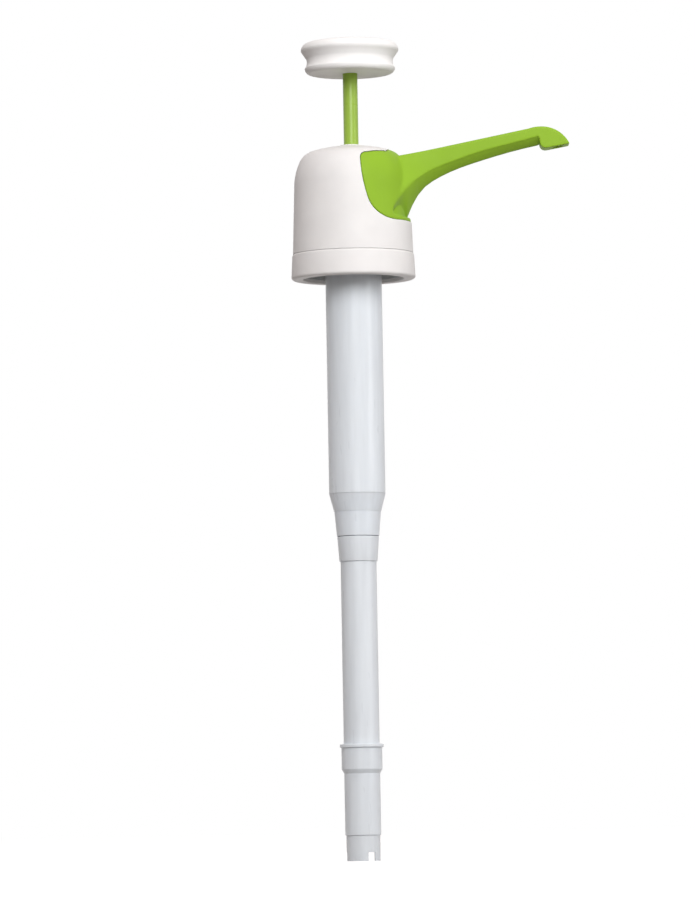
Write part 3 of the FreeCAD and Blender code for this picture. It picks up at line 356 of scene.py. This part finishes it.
class PumpStage(bpy.types.PropertyGroup):
    distance: bpy.props.FloatProperty(
        name="Camera distance", description="From the camera to the pump's axis",
        unit="LENGTH", default=3.2)
    height: bpy.props.FloatProperty(
        name="Camera height", description="Height of the camera in the pump's frame",
        unit="LENGTH", default=-0.345)
    roll: bpy.props.FloatProperty(
        name="Roll", description="How far the camera is turned about its view", unit="ROTATION",
        subtype="ANGLE", default=math.radians(1.0))
    lens: bpy.props.FloatProperty(name="Lens", description="Focal length in millimetres", default=220.0)
    key: bpy.props.FloatProperty(name="Main lamp", description="Strength of the main lamp", default=3.6)
    side: bpy.props.FloatProperty(
        name="Side lamp", description="Strength of the lamp on the right", default=0.95)
    sky: bpy.props.FloatProperty(name="Room light", description="Strength of the room's light", default=0.74)


class PUMP_OT_finishes(bpy.types.Operator):
    """Make the plastics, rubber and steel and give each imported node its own"""

    bl_idname = "pump.finishes"
    bl_label = "Finishes"

    def execute(self, context):
        colours = context.scene.pump_colours
        moulded_plastic("shell_white", colours.bell, roughness=0.5, sheen=0.2, glow=0.1)
        moulded_plastic("knob_white", colours.knob, roughness=0.55, sheen=0.1)
        moulded_plastic("spout_green", colours.spout, roughness=0.5, sheen=0.12)
        moulded_plastic("rod_green", colours.rod, roughness=0.3, grain=0.0004, sheen=0.3)
        natural_plastic("barrel_natural", colours.barrel, roughness=0.32)
        natural_plastic("inner_natural", shaded(colours.barrel, 0.98), roughness=0.45)
        soft_rubber("seal_grey", SEAL_GREY)
        soft_rubber("seal_clear", SEAL_CLEAR)
        turned_steel("steel", STEEL)
        for part in frame["record"]["subparts"]:
            mesh = frame["nodes"][part["node"]].data
            mesh.materials.clear()
            mesh.materials.append(FINISH[part["material_slot"]])
        return {"FINISHED"}


def area_lamp(name, place, size, power):
    """Round lamp that points at the pump's origin."""
    data = bpy.data.lights.new(name, "AREA")
    data.shape = "DISK"
    data.size = size
    data.energy = power
    lamp = bpy.data.objects.new(name, data)
    bpy.context.scene.collection.objects.link(lamp)
    lamp.location = place
    lamp.rotation_mode = "QUATERNION"
    lamp.rotation_quaternion = (-Vector(place)).to_track_quat("-Z", "Y")


def seen_directly(tree):
    """1 for rays from the camera, from a mirror-like reflection or through clear plastic."""
    path = tree.nodes.new("ShaderNodeLightPath")
    total = path.outputs["Is Camera Ray"]
    for other in ("Is Glossy Ray", "Is Transmission Ray"):
        add = tree.nodes.new("ShaderNodeMath")
        add.operation = "MAXIMUM"
        tree.links.new(total, add.inputs[0])
        tree.links.new(path.outputs[other], add.inputs[1])
        total = add.outputs["Value"]
    return total


def room_light(strength):
    """White room, with soft warm light from above that fades towards the horizon."""
    world = bpy.data.worlds.new("room")
    bpy.context.scene.world = world
    world.use_nodes = True
    tree = world.node_tree
    tree.nodes.clear()
    output = tree.nodes.new("ShaderNodeOutputWorld")
    mix = tree.nodes.new("ShaderNodeMixShader")
    soft = tree.nodes.new("ShaderNodeBackground")
    white = tree.nodes.new("ShaderNodeBackground")
    white.inputs["Color"].default_value = (1, 1, 1, 1)
    white.inputs["Strength"].default_value = 1.0
    place = tree.nodes.new("ShaderNodeTexCoord")
    split = tree.nodes.new("ShaderNodeSeparateXYZ")
    tree.links.new(place.outputs["Generated"], split.inputs["Vector"])
    level = tree.nodes.new("ShaderNodeMapRange")
    level.inputs["To Min"].default_value = ROOM_LOW * strength
    level.inputs["To Max"].default_value = strength
    tree.links.new(split.outputs["Z"], level.inputs["Value"])
    tree.links.new(level.outputs["Result"], soft.inputs["Strength"])
    soft.inputs["Color"].default_value = ROOM_TINT
    tree.links.new(seen_directly(tree), mix.inputs["Fac"])
    tree.links.new(soft.outputs["Background"], mix.inputs[1])
    tree.links.new(white.outputs["Background"], mix.inputs[2])
    tree.links.new(mix.outputs["Shader"], output.inputs["Surface"])


def floor_finish():
    """White floor that takes a soft shadow and sends little light back up."""
    material = bpy.data.materials.new("studio_floor")
    material.use_nodes = True
    tree = material.node_tree
    tree.nodes.clear()
    output = tree.nodes.new("ShaderNodeOutputMaterial")
    mix = tree.nodes.new("ShaderNodeMixShader")
    grey = tree.nodes.new("ShaderNodeBsdfDiffuse")
    grey.inputs["Color"].default_value = FLOOR_BOUNCE
    seen = tree.nodes.new("ShaderNodeMixShader")
    seen.inputs["Fac"].default_value = 0.5
    pale = tree.nodes.new("ShaderNodeBsdfDiffuse")
    pale.inputs["Color"].default_value = FLOOR_SEEN
    glow = tree.nodes.new("ShaderNodeEmission")
    glow.inputs["Color"].default_value = (1, 1, 1, 1)
    glow.inputs["Strength"].default_value = FLOOR_GLOW
    tree.links.new(pale.outputs["BSDF"], seen.inputs[1])
    tree.links.new(glow.outputs["Emission"], seen.inputs[2])
    tree.links.new(seen_directly(tree), mix.inputs["Fac"])
    tree.links.new(grey.outputs["BSDF"], mix.inputs[1])
    tree.links.new(seen.outputs["Shader"], mix.inputs[2])
    tree.links.new(mix.outputs["Shader"], output.inputs["Surface"])
    return material


class PUMP_OT_stage(bpy.types.Operator):
    """Make the floor, the lamps, the room's light and the camera"""

    bl_idname = "pump.stage"
    bl_label = "Stage"

    def execute(self, context):
        stage = context.scene.pump_stage
        deselect()
        bpy.ops.mesh.primitive_plane_add(size=FLOOR_SIZE, location=(0, 0, CAD_BOX[0].z - FLOOR_DROP))
        floor = context.active_object
        floor.name = "studio_floor"
        floor.data.materials.append(floor_finish())
        room_light(stage.sky)
        area_lamp("main_lamp", MAIN_LAMP_PLACE, MAIN_LAMP_SIZE, WATTS * stage.key)
        area_lamp("side_lamp", SIDE_LAMP_PLACE, SIDE_LAMP_SIZE, WATTS * stage.side)
        context.scene.view_settings.view_transform = "Standard"
        data = bpy.data.cameras.new("camera")
        data.lens = stage.lens
        data.sensor_width = SENSOR_WIDTH
        camera = bpy.data.objects.new("camera", data)
        context.scene.collection.objects.link(camera)
        camera.location = (VIEW_X, -stage.distance, stage.height)
        look = Vector((VIEW_X, 0, VIEW_Z)) - camera.location
        roll = Matrix.Rotation(-stage.roll, 3, "Z").to_quaternion()
        camera.rotation_mode = "QUATERNION"
        camera.rotation_quaternion = look.to_track_quat("-Z", "Y") @ roll
        data.clip_start = 0.1
        data.clip_end = 100
        context.scene.camera = camera
        return {"FINISHED"}


def bow(start, middle, end, steps):
    """Points of the arc through three points, without its start."""
    (x1, y1), (x2, y2), (x3, y3) = start, middle, end
    d = 2 * (x1 * (y2 - y3) + x2 * (y3 - y1) + x3 * (y1 - y2))
    a, b, c = (x * x + y * y for x, y in (start, middle, end))
    cx = (a * (y2 - y3) + b * (y3 - y1) + c * (y1 - y2)) / d
    cy = (a * (x3 - x2) + b * (x1 - x3) + c * (x2 - x1)) / d
    radius = math.dist((cx, cy), start)
    first = math.atan2(y1 - cy, x1 - cx)
    turn = (math.atan2(y3 - cy, x3 - cx) - first) % math.tau
    if (math.atan2(y2 - cy, x2 - cx) - first) % math.tau > turn:
        turn -= math.tau
    angles = [first + turn * k / steps for k in range(1, steps + 1)]
    return [(cx + radius * math.cos(angle), cy + radius * math.sin(angle)) for angle in angles]


def rounded(corners, steps=5):
    """Closed outline in which a corner given as (x, z, rounding) is drawn as a short arc."""
    points = []
    for index, corner in enumerate(corners):
        here = Vector(corner[:2])
        if len(corner) == 2:
            points.append(tuple(here))
            continue
        before = (Vector(corners[index - 1][:2]) - here).normalized()
        after = (Vector(corners[(index + 1) % len(corners)][:2]) - here).normalized()
        half = before.angle(after) / 2
        start = here + before * corner[2] / math.tan(half)
        end = here + after * corner[2] / math.tan(half)
        middle = here + (before + after).normalized() * (corner[2] / math.sin(half) - corner[2])
        points.append(tuple(start))
        points.extend(bow(tuple(start), tuple(middle), tuple(end), steps))
    return points


def drawn(name, points):
    """Outline in the XZ plane, in millimetres, drawn from corner to corner and left in edit mode."""
    deselect()
    start = (points[0][0] * MM, 0, points[0][1] * MM)
    bpy.ops.mesh.primitive_plane_add(size=MM, location=start)
    piece = bpy.context.active_object
    piece.name = name
    bpy.ops.object.mode_set(mode="EDIT")
    bpy.ops.mesh.select_all(action="SELECT")
    bpy.ops.mesh.merge(type="CENTER")
    for (x0, z0), (x1, z1) in zip(points, points[1:]):
        move = ((x1 - x0) * MM, 0, (z1 - z0) * MM)
        bpy.ops.mesh.extrude_vertices_move(TRANSFORM_OT_translate={"value": move})
    return piece


def settle(piece):
    """Ends an edit: merged corners, outward faces, place in the mesh and smooth shading."""
    bpy.ops.mesh.select_all(action="SELECT")
    bpy.ops.mesh.remove_doubles(threshold=0.005 * MM)
    bpy.ops.mesh.normals_make_consistent(inside=False)
    bpy.ops.object.mode_set(mode="OBJECT")
    bpy.ops.object.transform_apply(location=True, rotation=True, scale=True)
    bpy.ops.object.shade_smooth_by_angle(angle=math.radians(SMOOTH_ANGLE))
    return piece


def turned(name, points, steps):
    """Piece turned about the pump's axis from an outline of radii and heights."""
    ends = [] if points[0][0] == 0 and points[-1][0] == 0 else [points[0]]
    piece = drawn(name, points + ends)
    bpy.ops.mesh.select_all(action="SELECT")
    bpy.ops.mesh.spin(steps=steps, angle=math.tau, center=(0, 0, 0), axis=(0, 0, 1))
    return settle(piece)


def dress(piece, body, slot, *nodes):
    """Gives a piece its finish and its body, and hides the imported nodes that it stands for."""
    piece.data.materials.clear()
    piece.data.materials.append(FINISH[slot])
    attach(piece, body)
    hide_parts(*nodes)


def millimetres(node):
    """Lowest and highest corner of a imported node, in millimetres."""
    low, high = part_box(node)
    return Vector(low) / MM, Vector(high) / MM


class PUMP_OT_knob(bpy.types.Operator):
    """Model the knob's spool and its cap"""

    bl_idname = "pump.knob"
    bl_label = "Knob"

    def execute(self, context):
        sizes = context.scene.pump_sizes
        low, high = millimetres("knob_body")
        rim = high.x
        foot = rim - FOOT_INSET
        waist = rim - sizes.knob_waist / MM
        inner = rim - KNOB_WALL
        floor = low.z + KNOB_FLOOR
        spool = [(KNOB_BORE_R, low.z), (foot - FOOT_FLAT_INSET, low.z)]
        spool += bow(spool[-1], (foot - FOOT_BEND[0], low.z + FOOT_BEND[1]), (foot, low.z + FOOT_H), 12)
        spool += bow(spool[-1], (waist, low.z + WAIST_H), (waist + WAIST_END[0], low.z + WAIST_END[1]), 14)
        spool += [(rim - RIM_START[0], high.z - RIM_START[1])]
        spool += bow(spool[-1], (rim - RIM_BEND[0], high.z - RIM_BEND[1]), (rim, high.z), 5)
        spool += [(inner, high.z), (inner, floor), (KNOB_BORE_R, floor)]
        dress(turned("knob_spool", spool, KNOB_SEGMENTS), "plunger", "knob_white", "knob_body")
        low, high = millimetres("knob_cap")
        seam = millimetres("knob_body")[1].z + CAP_SEAM
        edge = (rim - CAP_EDGE[0], high.z - CAP_EDGE[1])
        cap = [(inner, seam), (rim, seam)]
        cap += bow(cap[-1], (rim - CAP_EDGE_BEND[0], seam + CAP_EDGE_BEND[1]), edge, 16)
        cap += bow(edge, (edge[0] * CAP_CROWN_X_SHARE, high.z - CAP_CROWN_DROP), (0, high.z), 18)
        cap += [(0, high.z - CAP_DEPTH), (rim - CAP_WALL, high.z - CAP_DEPTH), (rim - CAP_WALL, seam)]
        dress(turned("knob_top", cap, KNOB_SEGMENTS), "plunger", "knob_white", "knob_cap")
        return {"FINISHED"}


class PUMP_OT_rod(bpy.types.Operator):
    """Model the plunger rod"""

    bl_idname = "pump.rod"
    bl_label = "Rod"

    def execute(self, context):
        low, high = millimetres("plunger_rod")
        rod = rounded([(0, low.z), (high.x, low.z, ROD_EDGE), (high.x, high.z, ROD_EDGE), (0, high.z)], 3)
        dress(turned("rod", rod, ROD_SEGMENTS), "plunger", "rod_green", "plunger_rod")
        return {"FINISHED"}


def bell_outline(sizes, inset):
    """Outer line of the bell from its lower edge up to the axis, moved inwards by inset."""
    low, high = millimetres("head_shell")
    top = high.z
    draft, wall_top = BELL_DRAFT, BELL_WALL_TOP
    shoulder_r, corner_r, crown_r = sizes.bell_shoulder / MM, sizes.bell_corner / MM, sizes.bell_crown / MM
    lean = math.hypot(1, draft)
    wall = high.x + draft * low.z - draft * wall_top
    shoulder = (wall - shoulder_r / lean, wall_top - shoulder_r * draft / lean)
    crown = (0.0, top - crown_r)
    near, far = shoulder_r - corner_r, crown_r - corner_r
    span = math.dist(shoulder, crown)
    along = (near * near - far * far + span * span) / (2 * span)
    across = math.sqrt(near * near - along * along)
    ux, uz = (crown[0] - shoulder[0]) / span, (crown[1] - shoulder[1]) / span
    corner = (shoulder[0] + along * ux - across * uz, shoulder[1] + along * uz + across * ux)

    def on(centre, radius, angle):
        reach = radius - inset
        return (centre[0] + reach * math.cos(angle), centre[1] + reach * math.sin(angle))

    wall_angle = math.atan2(draft, 1)
    join_low = math.atan2(corner[1] - shoulder[1], corner[0] - shoulder[0])
    join_high = math.atan2(corner[1] - crown[1], corner[0] - crown[0])
    start = on(shoulder, shoulder_r, wall_angle)
    line = [(start[0] + draft * (start[1] - low.z), low.z)]
    run, rise = start[0] - line[0][0], start[1] - low.z
    for k in range(1, WALL_STEPS + 1):
        line.append((line[0][0] + run * k / WALL_STEPS, low.z + rise * k / WALL_STEPS))
    for centre, radius, first, last in ((shoulder, shoulder_r, wall_angle, join_low),
                                        (corner, corner_r, join_low, join_high),
                                        (crown, crown_r, join_high, math.pi / 2)):
        line += [on(centre, radius, first + (last - first) * k / ARC_STEPS) for k in range(1, ARC_STEPS + 1)]
    return line


def edit(piece):
    """Opens one piece in edit mode with nothing selected on it."""
    pick(piece)
    bpy.ops.object.mode_set(mode="EDIT")
    bpy.ops.mesh.select_all(action="DESELECT")


def apply_modifier(piece, kind, **settings):
    """Adds one modifier to a piece and applies it."""
    pick(piece)
    modifier = piece.modifiers.new(kind.lower(), kind)
    for setting, value in settings.items():
        setattr(modifier, setting, value)
    bpy.ops.object.modifier_apply(modifier=modifier.name)


def slab(name, points, half_width):
    """Outline in the XZ plane, filled and stretched to both sides along Y."""
    piece = drawn(name, points)
    bpy.ops.mesh.select_all(action="SELECT")
    bpy.ops.mesh.edge_face_add()
    bpy.ops.transform.translate(value=(0, -half_width * MM, 0))
    bpy.ops.mesh.extrude_region_move(TRANSFORM_OT_translate={"value": (0, 2 * half_width * MM, 0)})
    return settle(piece)


def saddle_edge(growth):
    """Side view of the bell's window, from its lower lip round to the crown, grown by the given width."""

    def grown(x, z, along_x, along_z):
        return (x + growth * along_x, z + growth * along_z)

    line = [grown(*point) for point in WINDOW_LIP]
    for middle, end, steps in WINDOW_ARCS:
        line += bow(line[-1], grown(*middle), grown(*end), steps)
    return line + [grown(*point) for point in WINDOW_TOP]


def soften_window(piece, width):
    """Rounds the sharp edges that the window has cut into the bell."""
    edit(piece)
    mesh = bmesh.from_edit_mesh(piece.data)
    for edge in mesh.edges:
        start, end = (vertex.co / MM for vertex in edge.verts)
        if min(start.x, end.x, start.z) <= WINDOW_CLEAR or math.hypot(start.x, start.y) <= HOLE_CLEAR_R:
            continue
        if len(edge.link_faces) == 2 and edge.calc_face_angle() > SHARP_ANGLE:
            edge.select = True
    mesh.select_flush_mode()
    bmesh.update_edit_mesh(piece.data)
    bpy.ops.mesh.remove_doubles(threshold=MERGE_GAP * MM)
    bpy.ops.mesh.bevel(offset=width * MM, segments=3, affect="EDGES", clamp_overlap=True)
    bpy.ops.object.mode_set(mode="OBJECT")
    bpy.ops.object.shade_smooth_by_angle(angle=math.radians(SMOOTH_ANGLE))


class PUMP_OT_bell(bpy.types.Operator):
    """Model the bell with the window for the spout's saddle, and the band below it"""

    bl_idname = "pump.bell"
    bl_label = "Bell and band"

    def execute(self, context):
        sizes = context.scene.pump_sizes
        outside = [point for point in bell_outline(sizes, 0) if point[0] > BELL_HOLE_R]
        inside = [point for point in bell_outline(sizes, BELL_WALL) if point[0] > BELL_HOLE_R]
        hole = [(BELL_HOLE_R, line[-1][1] + BELL_HOLE_LAP) for line in (outside, inside)]
        bell = turned("bell", outside + hole + inside[::-1], BELL_SEGMENTS)
        window = slab("window", saddle_edge(WINDOW_GAP), WINDOW_HALF_W)
        apply_modifier(bell, "BOOLEAN", object=window, operation="DIFFERENCE", solver="EXACT")
        bpy.data.objects.remove(window)
        soften_window(bell, sizes.window_round / MM)
        dress(bell, "housing", "shell_white", "head_shell")
        low, high = millimetres("collar_ring")
        seam = millimetres("head_shell")[0].z - sizes.band_gap / MM
        top_r = high.x - BAND_TOP_INSET
        floor = low.z + BAND_FLOOR
        lip_top = high.z - BAND_LIP_DROP
        band = rounded([
            (BAND_BORE_R, low.z, BAND_FOOT_EDGES[0]), (high.x, low.z, BAND_FOOT_EDGES[1]),
            (top_r, seam - BAND_CHAMFER[1], BAND_CHAMFER_EDGES[0]),
            (top_r - BAND_CHAMFER[0], seam, BAND_CHAMFER_EDGES[1]),
            (BAND_WALL_R, seam), (BAND_WALL_R, high.z - BAND_WALL_DROP), (BAND_WALL_R, floor),
            (BAND_BORE_R + BAND_LIP_T, floor), (BAND_BORE_R + BAND_LIP_T, lip_top), (BAND_BORE_R, lip_top),
        ])
        dress(turned("band", band, BELL_SEGMENTS), "housing", "shell_white", "collar_ring")
        return {"FINISHED"}


def solid_copy(name, node, swell=0.0):
    """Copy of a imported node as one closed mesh, swollen a little along its normals."""
    piece = bpy.data.objects.new(name, frame["nodes"][node].data.copy())
    bpy.context.scene.collection.objects.link(piece)
    edit(piece)
    bpy.ops.mesh.select_all(action="SELECT")
    bpy.ops.mesh.remove_doubles(threshold=0.001 * MM)
    bpy.ops.object.mode_set(mode="OBJECT")
    if swell:
        apply_modifier(piece, "DISPLACE", strength=swell, mid_level=0.0)
    return piece


def root_group(spout, sizes, reach):
    """Vertex group where the arm leaves the saddle, fading out over reach from the bell's surface."""
    outline = [(z, r) for r, z in bell_outline(sizes, 0) if z < ROOT_TOP_Z]
    group = spout.vertex_groups.new(name="root")
    for vertex in spout.data.vertices:
        x, y, z = vertex.co / MM
        if x < ROOT_LEFT_X or z < ROOT_LOW_Z or z > outline[-1][0]:
            continue
        index = next(k for k, place in enumerate(outline[1:], 1) if place[0] >= z)
        (z0, r0), (z1, r1) = outline[index - 1], outline[index]
        beyond = math.hypot(x, y) - r0 - (r1 - r0) * (z - z0) / (z1 - z0)
        if ROOT_INSIDE < beyond < reach:
            fade = 2 * (1 - max(0.0, beyond) / reach)
            weight = min(1.0, fade, (x - ROOT_LEFT_X) / ROOT_FADE, (z - ROOT_LOW_Z) / ROOT_FADE)
            group.add([vertex.index], weight, "REPLACE")


class PUMP_OT_spout(bpy.types.Operator):
    """Model the spout in one skin: saddle, arm, closing strip and nozzle, with soft moulded edges"""

    bl_idname = "pump.spout"
    bl_label = "Spout"

    def execute(self, context):
        sizes = context.scene.pump_sizes
        spout = solid_copy("spout", "spout_body")
        strip = solid_copy("strip", "spout_underside", sizes.strip_swell)
        pick(strip, spout)
        bpy.ops.object.join()
        apply_modifier(spout, "REMESH", mode="VOXEL", voxel_size=sizes.spout_skin)
        apply_modifier(spout, "SMOOTH", factor=0.5, iterations=sizes.spout_rounds)
        root_group(spout, sizes, sizes.root_reach / MM)
        apply_modifier(spout, "SMOOTH", factor=0.5, iterations=sizes.root_rounds, vertex_group="root")
        spout.vertex_groups.clear()
        bpy.ops.object.shade_smooth()
        dress(spout, "housing", "spout_green", "spout_body", "spout_underside")
        return {"FINISHED"}


STEPS = ("finishes", "stage", "knob", "rod", "bell", "spout")


class PUMP_PT_panel(bpy.types.Panel):
    bl_idname = "PUMP_PT_panel"
    bl_label = "Hand pump"
    bl_space_type = "VIEW_3D"
    bl_region_type = "UI"
    bl_category = "Pump"

    def draw(self, context):
        layout = self.layout
        scene = context.scene
        for group in (scene.pump_sizes, scene.pump_colours, scene.pump_stage):
            for field in group.bl_rna.properties.keys():
                if field not in ("name", "rna_type"):
                    layout.prop(group, field)
        for step in STEPS:
            layout.operator("pump." + step)


CLASSES = (PumpSizes, PumpColours, PumpStage, PUMP_OT_finishes, PUMP_OT_stage, PUMP_OT_knob, PUMP_OT_rod,
           PUMP_OT_bell, PUMP_OT_spout, PUMP_PT_panel)


def register():
    for cls in CLASSES:
        bpy.utils.register_class(cls)
    bpy.types.Scene.pump_sizes = bpy.props.PointerProperty(type=PumpSizes)
    bpy.types.Scene.pump_colours = bpy.props.PointerProperty(type=PumpColours)
    bpy.types.Scene.pump_stage = bpy.props.PointerProperty(type=PumpStage)


def unregister():
    del bpy.types.Scene.pump_stage
    del bpy.types.Scene.pump_colours
    del bpy.types.Scene.pump_sizes
    for cls in reversed(CLASSES):
        bpy.utils.unregister_class(cls)


def main():
    register()
    for step in STEPS:
        getattr(bpy.ops.pump, step)()


if __name__ == "__main__":
    main()
